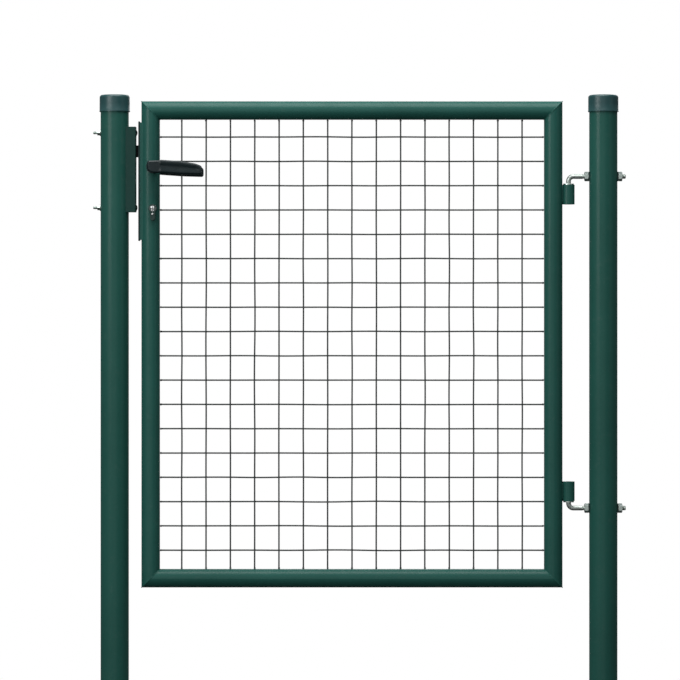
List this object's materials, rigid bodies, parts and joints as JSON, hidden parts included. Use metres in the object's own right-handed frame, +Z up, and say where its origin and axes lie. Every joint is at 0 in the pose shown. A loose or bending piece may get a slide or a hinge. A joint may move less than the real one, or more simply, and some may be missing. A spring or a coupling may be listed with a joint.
{
  "type": "garden gate",
  "caption": "Single-leaf steel garden gate with welded wire mesh, lever lock and profile cylinder, hung between two round posts.",
  "frame": {"origin": "on the ground line of the two posts, midway between the two posts", "axes": "+X from the lock post to the hinge post, +Y away from the front, +Z up"},
  "size_m": [1.095, 0.114, 1.5038],
  "materials": {
    "post_paint": "moss green powder coat, satin",
    "frame_paint": "moss green powder coat, satin",
    "wire_paint": "green coated steel wire",
    "cap_plastic": "moulded green plastic",
    "zinc": "zinc plated",
    "galvanised": "hot dip galvanised",
    "lock_steel": "dull zinc plated sheet",
    "bolt_steel": "dark sintered steel, lightly oiled",
    "cylinder_body": "darkened nickel plated brass",
    "nickel": "nickel plated",
    "handle_black": "blue-black glass filled nylon, semi-gloss",
    "keep_paint": "dark green coating over galvanised sheet",
    "saddle_plastic": "dark green plastic"
  },
  "bodies": {
    "posts": {"left_post": "post_paint", "right_post": "post_paint", "left_post_cap": "cap_plastic", "right_post_cap": "cap_plastic", "keep_channel": "keep_paint", "keep_bolts": "zinc", "keep_washers": "zinc", "keep_nuts": "zinc", "upper_hinge_pin": "galvanised", "lower_hinge_pin": "galvanised", "upper_hinge_nuts": "zinc", "lower_hinge_nuts": "zinc", "hinge_saddles": "saddle_plastic", "lower_pin_washer": "zinc"},
    "gate_leaf": {"top_rail": "frame_paint", "bottom_rail": "frame_paint", "hinge_stile": "frame_paint", "lock_stile": "frame_paint", "upright_wires": "wire_paint", "cross_wires": "wire_paint", "upper_hinge_socket": "frame_paint", "lower_hinge_socket": "frame_paint", "hinge_welds": "frame_paint", "upper_pin_washer": "zinc", "lock_pocket": "frame_paint", "lock_case": "lock_steel", "lock_case_cover": "lock_steel", "lock_case_screws": "zinc", "faceplate": "lock_steel", "faceplate_screws": "zinc", "latch_spring": "lock_steel", "cylinder_housing": "cylinder_body", "cylinder_screw": "zinc", "front_bush": "handle_black", "back_bush": "handle_black"},
    "handle": {"front_lever": "handle_black", "back_lever": "handle_black", "spindle": "lock_steel", "grub_screws": "lock_steel", "follower": "lock_steel"},
    "latch": {"latch_bolt": "bolt_steel"},
    "deadbolt": {"deadbolt_bar": "bolt_steel"},
    "cylinder_plug": {"front_plug": "nickel", "back_plug": "nickel", "cylinder_cam": "lock_steel"}
  },
  "joints": [
    {"name": "gate_swing", "type": "hinge", "parent": "posts", "child": "gate_leaf", "pos_m": [0.431, 0, 1], "axis": [0, 0, 1], "range_deg": [-110, 110]},
    {"name": "lever_turn", "type": "hinge", "parent": "gate_leaf", "child": "handle", "pos_m": [-0.4235, 0, 1.354], "axis": [0, 1, 0], "range_deg": [0, 38], "stiffness_Nm_per_rad": 0.5, "springref_deg": -11.46},
    {"name": "latch_slide", "type": "slide", "parent": "gate_leaf", "child": "latch", "axis": [1, 0, 0], "range_m": [0, 0.0122], "deforming": ["latch_spring"]},
    {"name": "plug_turn", "type": "hinge", "parent": "gate_leaf", "child": "cylinder_plug", "pos_m": [-0.4235, 0, 1.269], "axis": [0, 1, 0], "range_deg": [0, 360]},
    {"name": "deadbolt_slide", "type": "slide", "parent": "gate_leaf", "child": "deadbolt", "axis": [-1, 0, 0], "range_m": [0, 0.018]}
  ],
  "couplings": [
    {"joint": "latch_slide", "follows": "lever_turn", "m_per_rad": 0.0183},
    {"joint": "plug_turn", "follows": "deadbolt_slide", "rad_per_m": 349}
  ]
}
